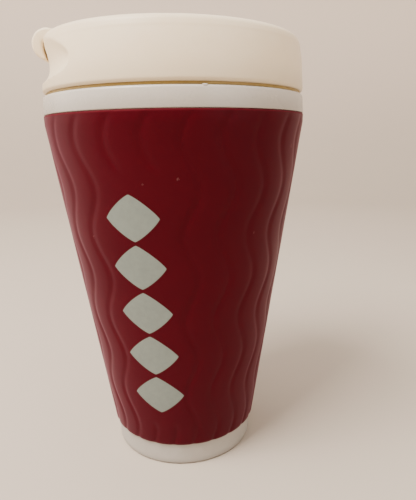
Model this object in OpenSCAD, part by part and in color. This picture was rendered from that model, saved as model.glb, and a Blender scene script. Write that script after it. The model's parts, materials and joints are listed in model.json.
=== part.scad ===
// Reusable double-wall travel cup with a screw lid and a flip tab.
// Origin: centre of the base, on the cup's axis. +Z up, the drinking end points to -X.

/* [Cup] */
// Height of the cup's rim
rim_z = 133.3; // [110:0.1:170]
// Outer radius of the sleeve at its top edge
sleeve_top_r = 46.3; // [41:0.1:58]
// Outer radius of the sleeve at its bottom edge
sleeve_bottom_r = 28.4; // [24:0.1:36]
// Height of the white base band below the sleeve
band_h = 8.8; // [6:0.1:14]
// How far the sleeve stands proud of the base band
band_step = 1.0; // [0.5:0.1:1.5]
// How much the base band narrows from its top to the ground
band_taper = 0.3; // [0:0.1:1]

/* [Walls] */
// Wall of the outer sleeve
sleeve_wall = 2.0; // [1.6:0.1:2.6]
// Wall of the inner cup
liner_wall = 1.8; // [1.2:0.1:2.4]
// Thickness of the inner cup's floor
liner_floor = 2.0; // [1.5:0.1:4]
// Air gap between the walls at the bottom
air_gap = 2.4; // [1.5:0.1:4]
// Height of the inner cup's underside above the ground
liner_lift = 14.0; // [13:0.1:22]
// Thickness of the base cap's plate
cap_floor = 2.0; // [1.5:0.1:4]
// Height of the base cap's spigot inside the sleeve
cap_spigot_h = 3.6; // [2:0.1:4.5]
// Clearance round a spigot that is fixed in its seat
seat_gap = 0.1; // [0.05:0.01:0.3]

/* [Collar and mouth] */
// Height of the collar above the sleeve's top edge
collar_h = 6.0; // [4:0.1:10]
// How far the collar is set in from the sleeve
collar_step = 0.3; // [0.1:0.1:1]
// Width of the rim from the collar's outside to the mouth
rim_w = 6.5; // [5.5:0.1:9]
// Shadow gap between the collar and the sleeve
shadow_gap = 0.4; // [0.2:0.1:1]
// Thickness of the rim's web and of the collar's spigot
collar_wall = 2.0; // [1.5:0.1:2.5]
// Depth of the straight mouth below the rim
mouth_depth = 13.0; // [12:0.1:20]

/* [Lid] */
// Height of the lid above the seal
lid_h = 17.5; // [15:0.1:24]
// How far the lid is set in from the collar
lid_step = 0.2; // [0:0.1:1]
// How much the lid's side narrows towards its shoulder
lid_taper = 0.7; // [0:0.1:2]
// Radius of the lid's shoulder
shoulder_r = 3.6; // [2:0.1:4.5]
// Wall of the lid
lid_wall = 2.0; // [1.5:0.1:2.5]
// Depth of the dish in the lid's deck
dish_depth = 2.5; // [1.5:0.1:3.5]
// Width of the flat ring round the dish, with the shoulder
deck_w = 9.3; // [8.6:0.1:11]
// Depth of the threaded skirt below the rim
skirt_depth = 12.8; // [12:0.1:18]
// Radius of the air vent
vent_r = 1.0; // [0.6:0.1:2]
// Distance of the air vent from the axis
vent_x = 18; // [12:0.5:25]

/* [Lip scoop] */
// Depth of the scoop at its middle
scoop_depth = 2.5; // [1.5:0.1:3]
// Half angle that the scoop spans
scoop_angle = 48; // [35:1:60]
// Radius of the scoop's round edges
scoop_r = 5.0; // [3.5:0.1:5.5]
// Height of the scoop's middle above the lid's lower edge
scoop_mid = 8.9; // [8.5:0.1:9.2]

/* [Seal] */
// Thickness of the seal ring
seal_t = 0.9; // [0.6:0.1:2]
// How far the seal lies in from the lid's side
seal_inset = 1.0; // [0.5:0.1:1.5]

/* [Thread] */
// Pitch of the lid's thread
pitch = 4.0; // [3.5:0.1:5]
// Number of turns on each thread
thread_turns = 1.25; // [1:0.05:1.5]
// Height of each thread ridge
thread_h = 1.3; // [0.8:0.1:1.4]
// Width of a thread ridge at its root
thread_root = 2.0; // [1.4:0.1:2.1]
// Width of a thread ridge at its crest
thread_crest = 1.0; // [0.6:0.1:1.2]
// Radial gap between the skirt and the mouth
thread_gap = 1.9; // [1.6:0.1:2.2]

/* [Flip tab] */
// Width of the strap
tab_w = 12; // [9:0.5:16]
// Thickness of the strap
tab_t = 2.5; // [2:0.1:3.5]
// Gap between the strap and the deck, and between the hook and the lip
tab_gap = 0.3; // [0.2:0.05:0.6]
// Distance of the hinge from the axis
hinge_x = 8; // [6:0.5:11]
// Radius of the hinge trunnions
trunnion_r = 1.4; // [1:0.1:1.6]
// Radial running clearance of the trunnions
trunnion_play = 0.08; // [0.03:0.01:0.1]
// Thickness of each hinge ear
ear_t = 2.6; // [2:0.1:4]
// Radius of the rolled end
roll_r = 5.6; // [5:0.1:6]
// Thickness of the rolled end where it passes the lip
roll_t = 3.0; // [2.5:0.1:3.6]

/* [Drinking hole and stopper] */
// Radius of the drinking hole
hole_r = 4.9; // [4:0.1:5.5]
// Distance from the drinking hole's edge to the dish's edge
hole_edge = 0.8; // [0.5:0.1:3]
// Clearance round the stopper in the hole
stopper_gap = 0.3; // [0.2:0.05:0.6]
// Radius of the stopper's stem through the strap
stem_r = 2.0; // [1.5:0.1:3]
// Radius of the stopper's button on the strap
button_r = 3.4; // [3.2:0.1:4.5]
// Height of the stopper's button
button_h = 0.9; // [0.5:0.1:1.5]

/* [Hidden] */
$fn = 96;

far = 200;
bite = 0.5;
sleeve_top_z = rim_z - collar_h;
sleeve_slope = (sleeve_top_r - sleeve_bottom_r) / (sleeve_top_z - band_h);
sleeve_in = sleeve_wall / cos(atan(sleeve_slope));
sleeve_corner = 0.9;
top_corner = 0.5;
function sleeve_r(z) = sleeve_bottom_r + sleeve_slope * (z - band_h);
function sleeve_bore_r(z) = sleeve_r(z) - sleeve_in;

collar_r = sleeve_top_r - collar_step;
collar_lean = 0.3;
collar_corner = 0.6;
mouth_r = collar_r - rim_w;
mouth_z = rim_z - mouth_depth;
liner_top_r = mouth_r + liner_wall;
liner_bottom_r = sleeve_bore_r(liner_lift) - air_gap;
liner_corner = 3;
rim_spigot_h = 6;
rim_spigot_z = sleeve_top_z - rim_spigot_h;
rim_spigot_t = 1.6;
cap_r = sleeve_bottom_r - band_step;
cap_spigot_t = 1.6;
cap_corner = 1.0;
// the underside has a shallow round groove between its rim and its middle
groove_in_r = 9;
groove_out_r = cap_r - 4.5;
groove_h = 0.8;

lid_z = rim_z + seal_t;
lid_top = lid_z + lid_h;
lid_r = collar_r - lid_step;
lid_shoulder_r = lid_r - lid_taper;
lid_corner = 0.8;
dish_z = lid_top - dish_depth;
dish_top_r = lid_r - deck_w;
dish_r = dish_top_r - 0.5 * dish_depth;
skirt_r = mouth_r - thread_gap;
skirt_in_r = skirt_r - lid_wall;
skirt_z = rim_z - skirt_depth;
seal_r = lid_r - seal_inset;
seal_in_r = skirt_r + 0.4;

scoop_z = lid_z + scoop_mid;
scoop_side_r = lid_r - 0.6 * lid_taper;
scoop_in_r = scoop_side_r - scoop_depth;
// centre of the scoop's larger circle: it is scoop_depth deep at -X and fades out at scoop_angle
scoop_x = (pow(scoop_side_r, 2) - pow(scoop_in_r, 2))
        / (2 * (scoop_in_r - scoop_side_r * cos(scoop_angle)));
scoop_ring_r = scoop_in_r + scoop_x;
scoop_flat = 4.6;

strap_z = lid_top + tab_gap;
hinge_z = strap_z + tab_t / 2;
knuckle_r = 2.3;
ear_r = 2.9;
ear_gap = 0.3;
ear_y = tab_w / 2 + ear_gap;
ear_w = 2 * ear_r;
hook_x = lid_shoulder_r + tab_gap - 0.2;
roll_x = hook_x + roll_t - roll_r;
roll_z = lid_top - 0.9;
hole_x = dish_r - hole_edge - hole_r;
plug_r = hole_r - stopper_gap;
plug_tip_r = plug_r - 0.6;
plug_z = dish_z - lid_wall + 0.4;
plug_tip_h = 1.2;

// One helical ridge of a right-hand thread, from radius a at its root to radius b at its crest
module thread_ridge(a, b, z) {
    steps = round(40 * thread_turns);
    function rise(i) = min(1, i / 4, (steps - i) / 4);
    function ring(i) =
        let (turn = i / steps * 360 * thread_turns, up = z + pitch * turn / 360,
             crest = a + (b - a) * max(0.2, rise(i)))
        [for (p = [[a, -thread_root / 2], [crest, -thread_crest / 2],
                   [crest, thread_crest / 2], [a, thread_root / 2]])
            [p[0] * cos(turn), p[0] * sin(turn), up + p[1]]];
    points = [for (i = [0:steps]) each ring(i)];
    sides = [for (i = [0:steps - 1], k = [0:3])
        let (n = (k + 1) % 4)
        [4 * i + k, 4 * i + n, 4 * i + 4 + n, 4 * i + 4 + k]];
    last = 4 * steps;
    ends = [[3, 2, 1, 0], [last, last + 1, last + 2, last + 3]];
    faces = concat(sides, ends);
    // the ring runs the other way round when the crest points inwards
    polyhedron(points, b > a ? faces : [for (f = faces) [for (k = [3:-1:0]) f[k]]], 4);
}

// A rounded corner of radius r between an inner radius and a height, as points of an arc
function corner(x, z, r, from, to) =
    [for (i = [0:8]) let (t = from + (to - from) * i / 8) [x + r * cos(t), z + r * sin(t)]];

module inner_cup() color("whitesmoke") {
    difference() {
        rotate_extrude() union() {
            // collar with its shadow gap, the step that rests on the sleeve, and the rim
            polygon(concat(
                [[mouth_r, rim_z - collar_wall], [mouth_r, rim_z]],
                corner(collar_r - collar_lean - collar_corner, rim_z - collar_corner,
                       collar_corner, 90, 0),
                [[collar_r, sleeve_top_z + shadow_gap],
                 [collar_r - collar_wall + 0.6, sleeve_top_z + shadow_gap],
                 [collar_r - collar_wall + 0.6, sleeve_top_z],
                 [sleeve_bore_r(sleeve_top_z) - seat_gap, sleeve_top_z],
                 [sleeve_bore_r(rim_spigot_z) - seat_gap, rim_spigot_z],
                 [sleeve_bore_r(rim_spigot_z) - seat_gap - rim_spigot_t, rim_spigot_z],
                 [sleeve_bore_r(rim_spigot_z) - seat_gap - rim_spigot_t, rim_z - collar_wall]]));
            // straight mouth and tapered wall
            polygon([[mouth_r, rim_z - bite], [mouth_r, mouth_z], [0, mouth_z],
                     [0, liner_lift], [liner_bottom_r - liner_corner, liner_lift],
                     [liner_bottom_r, liner_lift + liner_corner],
                     [liner_top_r, mouth_z], [liner_top_r, rim_z - bite]]);
        }
        rotate_extrude()
            polygon([[0, liner_lift + liner_floor],
                     [liner_bottom_r - liner_wall - liner_corner, liner_lift + liner_floor],
                     [liner_bottom_r - liner_wall, liner_lift + liner_floor + liner_corner],
                     [mouth_r, mouth_z], [mouth_r, mouth_z + bite], [0, mouth_z + bite]]);
    }
    // the cup's ridge lies above the lid's ridge and holds it down
    thread_ridge(mouth_r + liner_wall / 2, mouth_r - thread_h, skirt_z + 2 + pitch / 2 + 0.4);
}

module ripple_sleeve() color("#6b1218")
    rotate_extrude()
        polygon([[sleeve_bore_r(band_h), band_h],
                 [sleeve_bottom_r - sleeve_corner, band_h],
                 [sleeve_r(band_h + sleeve_corner), band_h + sleeve_corner],
                 [sleeve_r(sleeve_top_z - top_corner), sleeve_top_z - top_corner],
                 [sleeve_top_r - top_corner, sleeve_top_z],
                 [sleeve_bore_r(sleeve_top_z), sleeve_top_z]]);

module base_cap() color("whitesmoke")
    rotate_extrude()
        polygon([[0, 0], [groove_in_r, 0], [groove_in_r + groove_h, groove_h],
                 [groove_out_r - groove_h, groove_h], [groove_out_r, 0],
                 [cap_r - band_taper - cap_corner, 0],
                 [cap_r - band_taper - 0.3 * cap_corner, 0.3 * cap_corner],
                 [cap_r - band_taper, cap_corner],
                 [cap_r, band_h],
                 [sleeve_bore_r(band_h) - seat_gap, band_h],
                 [sleeve_bore_r(band_h) - seat_gap, band_h + cap_spigot_h],
                 [sleeve_bore_r(band_h) - seat_gap - cap_spigot_t, band_h + cap_spigot_h],
                 [sleeve_bore_r(band_h) - seat_gap - cap_spigot_t, groove_h + cap_floor],
                 [0, groove_h + cap_floor]]);

// Ring outside the scoop's larger circle, grown by a wall thickness
module scoop_ring(grow) translate([scoop_x, 0, scoop_z]) rotate_extrude() union() {
    for (side = [-1, 1])
        translate([scoop_ring_r + scoop_r, side * scoop_flat / 2]) circle(scoop_r + grow);
    translate([scoop_ring_r - grow, -scoop_flat / 2]) square([scoop_r, scoop_flat]);
    translate([scoop_ring_r + scoop_r, -scoop_flat / 2 - scoop_r - grow])
        square([far / 4, scoop_flat + 2 * (scoop_r + grow)]);
}

// Outside of the lid, as a solid blank
module lid_blank() rotate_extrude()
    polygon(concat([[0, lid_z]],
        corner(lid_r - lid_corner, lid_z + lid_corner, lid_corner, -90, 0),
        corner(lid_shoulder_r - shoulder_r, lid_top - shoulder_r, shoulder_r, 0, 90),
        [[0, lid_top]]));

module lid_shell() rotate_extrude() {
    polygon(concat([[lid_r - lid_wall, lid_z]],
        corner(lid_r - lid_corner, lid_z + lid_corner, lid_corner, -90, 0),
        corner(lid_shoulder_r - shoulder_r, lid_top - shoulder_r, shoulder_r, 0, 90),
        [[dish_top_r, lid_top], [dish_r, dish_z], [0, dish_z], [0, dish_z - lid_wall],
         [skirt_in_r, dish_z - lid_wall], [skirt_in_r, skirt_z], [skirt_r, skirt_z],
         [skirt_r, lid_top - lid_wall],
         [lid_shoulder_r - lid_wall - 1.5, lid_top - lid_wall],
         [lid_shoulder_r - lid_wall, lid_top - lid_wall - 1.5]]));
}

module hinge_ear(side) translate([-hinge_x, side * (ear_y + ear_t / 2), 0]) {
    translate([-ear_w / 2, -ear_t / 2, dish_z - bite])
        cube([ear_w, ear_t, hinge_z - dish_z + bite]);
    translate([0, 0, hinge_z]) rotate([90, 0, 0]) cylinder(h = ear_t, r = ear_r, center = true);
}

module lid() color("#e6dccb") {
    difference() {
        union() {
            lid_shell();
            // the wall follows the scoop on the inside
            intersection() {
                lid_blank();
                scoop_ring(lid_wall);
                translate([-far, -far / 2, lid_z]) cube([far, far, lid_h]);
            }
            for (side = [-1, 1]) hinge_ear(side);
        }
        scoop_ring(0);
        translate([-hole_x, 0, dish_z - lid_wall - bite]) cylinder(h = lid_wall + 2 * bite, r = hole_r);
        translate([vent_x, 0, dish_z - lid_wall - bite]) cylinder(h = lid_wall + 2 * bite, r = vent_r);
        translate([-hinge_x, 0, hinge_z]) rotate([90, 0, 0])
            cylinder(h = far / 4, r = trunnion_r + trunnion_play, center = true);
    }
    thread_ridge(skirt_r - lid_wall / 2, skirt_r + thread_h, skirt_z + 2);
}

module lid_seal() color("#b8862e") rotate_extrude()
    translate([seal_in_r, rim_z]) square([seal_r - seal_in_r, seal_t]);

// Side view of the strap with its rolled end, in the XZ plane
module tab_outline() {
    difference() {
        translate([-roll_x, roll_z]) circle(roll_r);
        translate([-hook_x, strap_z - far]) square([far, far]);
    }
    translate([-roll_x, strap_z]) square([roll_x - hinge_x, tab_t]);
    translate([-hinge_x, hinge_z]) circle(knuckle_r);
}

module flip_tab() color("#e6dccb") {
    difference() {
        translate([0, tab_w / 2, 0]) rotate([90, 0, 0]) linear_extrude(tab_w) tab_outline();
        translate([-hole_x, 0, strap_z - bite]) cylinder(h = tab_t + 2 * bite, r = stem_r + seat_gap / 2);
    }
    translate([-hinge_x, 0, hinge_z]) rotate([90, 0, 0])
        cylinder(h = tab_w + 2 * (ear_gap + ear_t), r = trunnion_r, center = true);
}

module tab_stopper() color("#d9d2c4") translate([-hole_x, 0, 0]) {
    translate([0, 0, plug_z]) cylinder(h = plug_tip_h, r1 = plug_tip_r, r2 = plug_r);
    translate([0, 0, plug_z + plug_tip_h]) cylinder(h = strap_z - plug_z - plug_tip_h, r = plug_r);
    translate([0, 0, strap_z - bite]) cylinder(h = tab_t + 2 * bite, r = stem_r);
    translate([0, 0, strap_z + tab_t]) cylinder(h = button_h, r = button_r);
}

inner_cup();
ripple_sleeve();
base_cap();
lid();
lid_seal();
flip_tab();
tab_stopper();
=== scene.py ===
"""Looks of a used double-wall travel cup.

A burgundy sleeve with wavy ripples, a white collar and base, a cream screw lid with a scooped drinking
lip, and a flip tab whose rolled end hooks over that lip. Everything is in metres, in the frame of the
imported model: the cup's axis is Z, the base stands at zero and the drinking end points to -X.
"""

import json
import math

import bmesh
import bpy
from mathutils import Matrix, Vector
from mathutils.geometry import intersect_line_line_2d


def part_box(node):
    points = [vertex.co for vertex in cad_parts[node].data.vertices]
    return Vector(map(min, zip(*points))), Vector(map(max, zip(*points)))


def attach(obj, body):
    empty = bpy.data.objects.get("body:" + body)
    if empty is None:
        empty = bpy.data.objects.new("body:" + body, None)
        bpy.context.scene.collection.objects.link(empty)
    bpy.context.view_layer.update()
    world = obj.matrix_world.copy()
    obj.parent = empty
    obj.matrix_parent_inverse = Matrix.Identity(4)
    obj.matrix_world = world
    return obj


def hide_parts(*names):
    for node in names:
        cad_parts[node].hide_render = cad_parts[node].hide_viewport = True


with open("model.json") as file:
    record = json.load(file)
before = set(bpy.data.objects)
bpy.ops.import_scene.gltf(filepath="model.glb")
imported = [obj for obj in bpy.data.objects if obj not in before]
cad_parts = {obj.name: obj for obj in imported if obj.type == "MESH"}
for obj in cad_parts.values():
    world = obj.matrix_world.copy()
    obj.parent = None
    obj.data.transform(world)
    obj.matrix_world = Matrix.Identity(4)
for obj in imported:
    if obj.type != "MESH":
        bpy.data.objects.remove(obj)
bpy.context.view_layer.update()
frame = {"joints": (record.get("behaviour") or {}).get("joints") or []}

MM = 0.001


def low(node):
    """Lowest corner of a CAD node."""
    return Vector(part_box(node)[0])


def high(node):
    """Highest corner of a CAD node."""
    return Vector(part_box(node)[1])


# ---------------------------------------------------------------- sizes

# how far the finished sleeve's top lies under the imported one's, and the collar inside the sleeve's edge
SLEEVE_DROP = 0.3 * MM
COLLAR_INSET = 0.03 * MM

# taken from the frame
band_top = low("ripple_sleeve").z
sleeve_top = high("ripple_sleeve").z - SLEEVE_DROP
sleeve_edge_r = high("ripple_sleeve").y
rim_top = high("inner_cup").z
liner_low = low("inner_cup").z
collar_r = sleeve_edge_r - COLLAR_INSET
seal_top = high("lid_seal").z
seal_r = high("lid_seal").x
lid_r = high("lid").x
skirt_low = low("lid").z
ear_top = high("lid").z
band_r = high("base_cap").x
cap_top = high("base_cap").z
tab_front = low("flip_tab").x
tab_top = high("flip_tab").z
trunnion_end = high("flip_tab").y
stopper_low = low("tab_stopper").z
stopper_top = high("tab_stopper").z
stopper_x = (low("tab_stopper").x + high("tab_stopper").x) / 2
plug_r = (high("tab_stopper").x - low("tab_stopper").x) / 2
hinge = next(Vector(j["pos_m"]) for j in frame["joints"] if j["name"] == "tab_flip")

# sleeve and base
SLEEVE_BOTTOM_R = 28.4 * MM
SLEEVE_TOP_R = 46.3 * MM
SLEEVE_SWELL = 0.3 * MM
SLEEVE_WALL = 2.0 * MM
SLEEVE_CORNER = 1.2 * MM
SLEEVE_LIP = 0.4 * MM
SLEEVE_CHAMFER = 0.2 * MM
SKIN_START = 0.5 * MM
BAND_TAPER = 0.3 * MM
CAP_CORNER = 1.2 * MM
CAP_PLATE = 2.8 * MM
CAP_EDGE = 0.2 * MM
PLUG_WALL = 1.6 * MM
FOOT_R = 9 * MM
FOOT_GROOVE = 0.8 * MM
FOOT_RIM = 4.5 * MM
SEAT_GAP = 0.1 * MM

# collar and liner
COLLAR_SHADOW_GAP = 0.1 * MM
COLLAR_LEAN = 0.3 * MM
COLLAR_CORNER = 0.9 * MM
COLLAR_EDGE = 0.35 * MM
COLLAR_OVERHANG = 1.4 * MM
COLLAR_TOP = 2 * MM
SPIGOT_DEPTH = 6 * MM
SPIGOT_WALL = 1.6 * MM
MOUTH_CORNER = 0.5 * MM
RIM_WIDTH = 6.5 * MM
MOUTH_DEPTH = 13.0 * MM
LINER_WALL = 1.8 * MM
LINER_FLOOR = 2.0 * MM
AIR_GAP = 2.4 * MM
FOOT_CORNER = 3 * MM
FLOOR_CORNER = 4 * MM
BURR_ANGLE = math.radians(10.5)
BURR_LENGTH = 0.9 * MM
BURR_R = 0.35 * MM

# lid
LID_TAPER = 0.7 * MM
LID_WALL = 2.0 * MM
LID_CORNER = 1.1 * MM
SHOULDER_R = 3.6 * MM
LID_INSIDE_CORNER = 1.5 * MM
DISH_DEPTH = 2.5 * MM
DISH_EDGE = 0.8 * MM
DISH_EDGE_SET = 0.9 * MM
DISH_FOOT_SET = 0.6 * MM
DECK_WIDTH = 9.3 * MM
SKIRT_GAP = 1.9 * MM
SKIRT_CORNER = 0.5 * MM
SEAL_GAP = 0.4 * MM
SEAL_CORNER = 0.2 * MM
VENT_X = 18 * MM
VENT_R = 1.0 * MM
HOLE_R = 4.9 * MM

# the lid's side rounds in below its shoulder, from FALL_START up, and comes back at the very top
SHOULDER_FALL = 0.45 * MM
FALL_START = 8.3 * MM
FALL_RUN = 5.8 * MM
FALL_TOP = 0.5 * MM
FALL_RETURN = 1.7 * MM

# the rim rises towards the drinking side, but for a notch under the strap
LIP_RISE = 1.0 * MM
RISE_START_X = 25 * MM
RISE_RUN = 67 * MM
RISE_FOOT = 9 * MM
RISE_BLEND = 7 * MM
NOTCH_GAP = 0.7 * MM
NOTCH_RAMP = 4 * MM

# the lip scoop: its middle is a height above the seal
SCOOP_DEPTH = 2.65 * MM
SCOOP_HALF_DEGREES = 48.0
SCOOP_MIDDLE = 8.3 * MM
SCOOP_UP = 8.6 * MM
SCOOP_DOWN = 5.5 * MM
SCOOP_SKEW = 0.08
SCOOP_SOFT_UP = 1.5
SCOOP_SOFT_DOWN = 0.8

# tab
STRAP_T = 2.5 * MM
STRAP_GAP = 0.3 * MM
STRAP_W = 12 * MM
STRAP_BEVEL = 0.95 * MM
STRAP_END = 3.2 * MM
ROLL_CENTRE = 5.35 * MM
ROLL_R = 5.3 * MM
HOOK_INSET = 1.6 * MM
HOOK_CURL = 0.8 * MM
HOOK_TIP = 0.4 * MM
HOOK_CORNER = 0.5 * MM
CURL_START = 0.3 * MM
ROLL_FILLET = 1.2 * MM
KNUCKLE_R = 2.3 * MM
TRUNNION_R = 1.4 * MM
TRUNNION_GAP = 0.08 * MM
EAR_T = 2.6 * MM
EAR_SINK = 0.5 * MM
EAR_BEVEL = 0.35 * MM

# stopper
PLUG_TAPER = 0.6 * MM
PLUG_NOSE = 1.4 * MM
PLUG_CORNER = 0.4 * MM
PLUG_SHOULDER = 0.5 * MM
STEM_R = 2.0 * MM
STEM_GAP = 0.05 * MM
BUTTON_R = 3.4 * MM
BUTTON_EDGE = 0.45 * MM
BUTTON_FOOT = 0.2 * MM

# thread, a trapezoid ridge whose root is sunk a little into the wall
PITCH = 4.0 * MM
THREAD_TURNS = 1.25
THREAD_H = 1.5 * MM
THREAD_SINK = 0.2 * MM
THREAD_ROOT = 2.0 * MM
THREAD_CREST = 1.0 * MM
SKIRT_THREAD_Z = 2.0 * MM
THREAD_REST = 1.5 * MM

# ripples: twenty-four wavy grooves between broad flutes
GROOVES = 24
GROOVE_DEPTH = 0.19 * MM
GROOVE_SHARE = 0.45
FLUTE_CROWN = 0.10 * MM
FIRST_GROOVE = math.radians(5.5)
WAVE_SWING = math.radians(3.6)
WAVE_LENGTH = 29.3 * MM
WAVE_CREST_Z = 104 * MM
PANEL_MIDDLE = math.radians(-17)
PANEL_HALF = math.radians(17.5)
PANEL_LOW = 19.5 * MM
PANEL_HIGH = 108 * MM
COLUMNS_PER_GROOVE = 16

lid_top = hinge.z - STRAP_T / 2 - STRAP_GAP
strap_low = lid_top + STRAP_GAP
strap_top = strap_low + STRAP_T
sleeve_slope = (SLEEVE_TOP_R - SLEEVE_BOTTOM_R) / (sleeve_top - band_top)
sleeve_bore = SLEEVE_WALL / math.cos(math.atan(sleeve_slope))
mouth_r = high("inner_cup").x - RIM_WIDTH
skirt_r = mouth_r - SKIRT_GAP


def sleeve_r(z):
    """Outer radius of the sleeve's cone at height z."""
    return SLEEVE_BOTTOM_R + sleeve_slope * (z - band_top)


def bore_r(z):
    """Inner radius of the sleeve at height z."""
    return sleeve_r(z) - sleeve_bore


# ---------------------------------------------------------------- mesh helpers

SHARP = math.radians(35)


def clamped(value):
    """The value held between 0 and 1."""
    return min(1.0, max(0.0, value))


def arc(x, z, radius, start, end, steps=8):
    """Points of an arc in the half plane, from one angle to another in degrees."""
    turns = [math.radians(start + (end - start) * i / steps) for i in range(steps + 1)]
    return [(x + radius * math.cos(t), z + radius * math.sin(t)) for t in turns]


def rows(points, step, closed=True):
    """The same outline with its straight stretches cut into rows no longer than step."""
    result = []
    for (x0, z0), (x1, z1) in zip(points, points[1:] + points[:1] if closed else points[1:]):
        count = max(1, math.ceil(math.hypot(x1 - x0, z1 - z0) / step))
        result += [(x0 + (x1 - x0) * i / count, z0 + (z1 - z0) * i / count) for i in range(count)]
    return result if closed else result + points[-1:]


def even_angles(count):
    """Angles spread evenly round the axis, measured from -Y towards +X."""
    return [2 * math.pi * i / count for i in range(count)]


def finish_mesh(name, build):
    """Closes a bmesh, turns its faces outwards and makes it a smooth-shaded object."""
    bmesh.ops.remove_doubles(build, verts=build.verts, dist=2e-6)
    bmesh.ops.dissolve_degenerate(build, edges=build.edges, dist=1e-7)
    bmesh.ops.recalc_face_normals(build, faces=build.faces)
    mesh = bpy.data.meshes.new(name)
    build.to_mesh(mesh)
    build.free()
    mesh.shade_smooth()
    mesh.set_sharp_from_angle(angle=SHARP)
    obj = bpy.data.objects.new(name, mesh)
    bpy.context.scene.collection.objects.link(obj)
    return obj


def lathe(name, outline, angles=None, shape=None):
    """Turns a closed outline of (radius, height) round the axis. shape moves a point of the result."""
    angles = angles or even_angles(192)
    build = bmesh.new()
    rings = []
    for angle in angles:
        ring = []
        for index, (radius, z) in enumerate(outline):
            if shape:
                radius, z = shape(index, angle, radius, z)
            ring.append(build.verts.new((radius * math.sin(angle), -radius * math.cos(angle), z)))
        rings.append(ring)
    count = len(outline)
    for a, b in zip(rings, rings[1:] + rings[:1]):
        for i in range(count):
            k = (i + 1) % count
            if outline[i][0] > 0 or outline[k][0] > 0:
                build.faces.new((a[i], b[i], b[k], a[k]))
    return finish_mesh(name, build)


def inward_normals(outline):
    """The unit normal at each point of a closed outline, pointing into it."""
    pairs = list(zip(outline, outline[1:] + outline[:1]))
    area = sum(x0 * z1 - x1 * z0 for (x0, z0), (x1, z1) in pairs)
    turn = 1 if area > 0 else -1
    edges = [Vector((z0 - z1, x1 - x0)).normalized() * turn for (x0, z0), (x1, z1) in pairs]
    return [(before + after).normalized() for before, after in zip(edges[-1:] + edges[:-1], edges)]


def rounding_room(outline, normals, bevel):
    """How far each point may move inwards: the bevel, or less where the outline is thin."""
    room = []
    for i, point in enumerate(outline):
        start = Vector(point)
        nearest = 4 * bevel
        for k in range(len(outline)):
            if k in (i, (i - 1) % len(outline)):
                continue
            hit = intersect_line_line_2d(start + normals[i] * 1e-6, start + normals[i] * nearest,
                                         Vector(outline[k]), Vector(outline[(k + 1) % len(outline)]))
            if hit:
                nearest = (hit - start).length
        room.append(min(bevel, 0.4 * nearest))
    for _ in range(3):
        room = [min(b, (a + b + c) / 3) for a, b, c in zip(room[-1:] + room[:-1], room,
                                                           room[1:] + room[:1])]
    return room


def slab(name, outline, y0, y1, bevel):
    """An outline of (x, z) points as a slab between two Y planes, with rounded edges."""
    steps = 5
    normals = inward_normals(outline)
    room = rounding_room(outline, normals, bevel)
    build = bmesh.new()
    rings = []
    for end, towards in ((y0, 1), (y1, -1)):
        turns = [math.pi / 2 * (1 - i / steps) for i in range(steps + 1)]
        for turn in turns if towards > 0 else reversed(turns):
            ring = []
            for (x, z), normal, r in zip(outline, normals, room):
                inset = r * (1 - math.cos(turn))
                lift = towards * r * (1 - math.sin(turn))
                ring.append(build.verts.new((x + normal.x * inset, end + lift, z + normal.y * inset)))
            rings.append(ring)
    for a, b in zip(rings, rings[1:]):
        for i in range(len(outline)):
            k = (i + 1) % len(outline)
            build.faces.new((a[i], a[k], b[k], b[i]))
    build.faces.new(rings[0])
    build.faces.new(rings[-1])
    return finish_mesh(name, build)


def place(obj, matrix):
    """Moves a mesh's own points, so that its object stays at the origin."""
    obj.data.transform(matrix)
    return obj


def baked(obj):
    """The object with its modifiers turned into plain mesh."""
    depsgraph = bpy.context.evaluated_depsgraph_get()
    mesh = bpy.data.meshes.new_from_object(obj.evaluated_get(depsgraph))
    obj.modifiers.clear()
    obj.data = mesh
    mesh.shade_smooth()
    mesh.set_sharp_from_angle(angle=SHARP)
    return obj


def tidied(obj):
    """Merges near-double points and slivers, and turns the faces outwards."""
    build = bmesh.new()
    build.from_mesh(obj.data)
    bmesh.ops.remove_doubles(build, verts=build.verts, dist=0.01 * MM)
    bmesh.ops.dissolve_degenerate(build, edges=build.edges, dist=0.002 * MM)
    bmesh.ops.recalc_face_normals(build, faces=build.faces)
    build.to_mesh(obj.data)
    build.free()
    obj.data.set_sharp_from_angle(angle=SHARP)
    return obj


def combined(obj, others, operation):
    """Unites the others with an object or cuts them out of it."""
    for other in others:
        modifier = obj.modifiers.new("cut", "BOOLEAN")
        modifier.operation = operation
        modifier.solver = "MANIFOLD"
        modifier.object = other
    baked(obj)
    for other in others:
        bpy.data.objects.remove(other)
    return tidied(obj)


# ---------------------------------------------------------------- node helpers


def node(tree, kind, inputs=(), **settings):
    """Adds a node. inputs maps a socket's name or number to a value or to a socket to link from."""
    made = tree.nodes.new(kind)
    for name, value in settings.items():
        setattr(made, name, value)
    for key, value in dict(inputs).items():
        socket = made.inputs[key]
        if isinstance(value, bpy.types.NodeSocket):
            tree.links.new(value, socket)
        else:
            socket.default_value = value
    return made


def calc(tree, operation, *values):
    """The output of one Math node."""
    return node(tree, "ShaderNodeMath", enumerate(values), operation=operation).outputs[0]


def plus(tree, a, b):
    """a + b."""
    return calc(tree, "ADD", a, b)


def minus(tree, a, b):
    """a - b."""
    return calc(tree, "SUBTRACT", a, b)


def times(tree, a, b):
    """a times b."""
    return calc(tree, "MULTIPLY", a, b)


def ramp(tree, value, start, end):
    """Rises smoothly from 0 to 1 as value goes from start to end."""
    made = node(tree, "ShaderNodeMapRange", {"Value": value, "From Min": start, "From Max": end},
                interpolation_type="SMOOTHSTEP")
    return made.outputs["Result"]


def here(tree):
    """The place of each point on its own object."""
    return node(tree, "ShaderNodeTexCoord").outputs["Object"]


def height(tree):
    """The height of each point on its own object."""
    return node(tree, "ShaderNodeSeparateXYZ", {0: here(tree)}).outputs[2]


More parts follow.
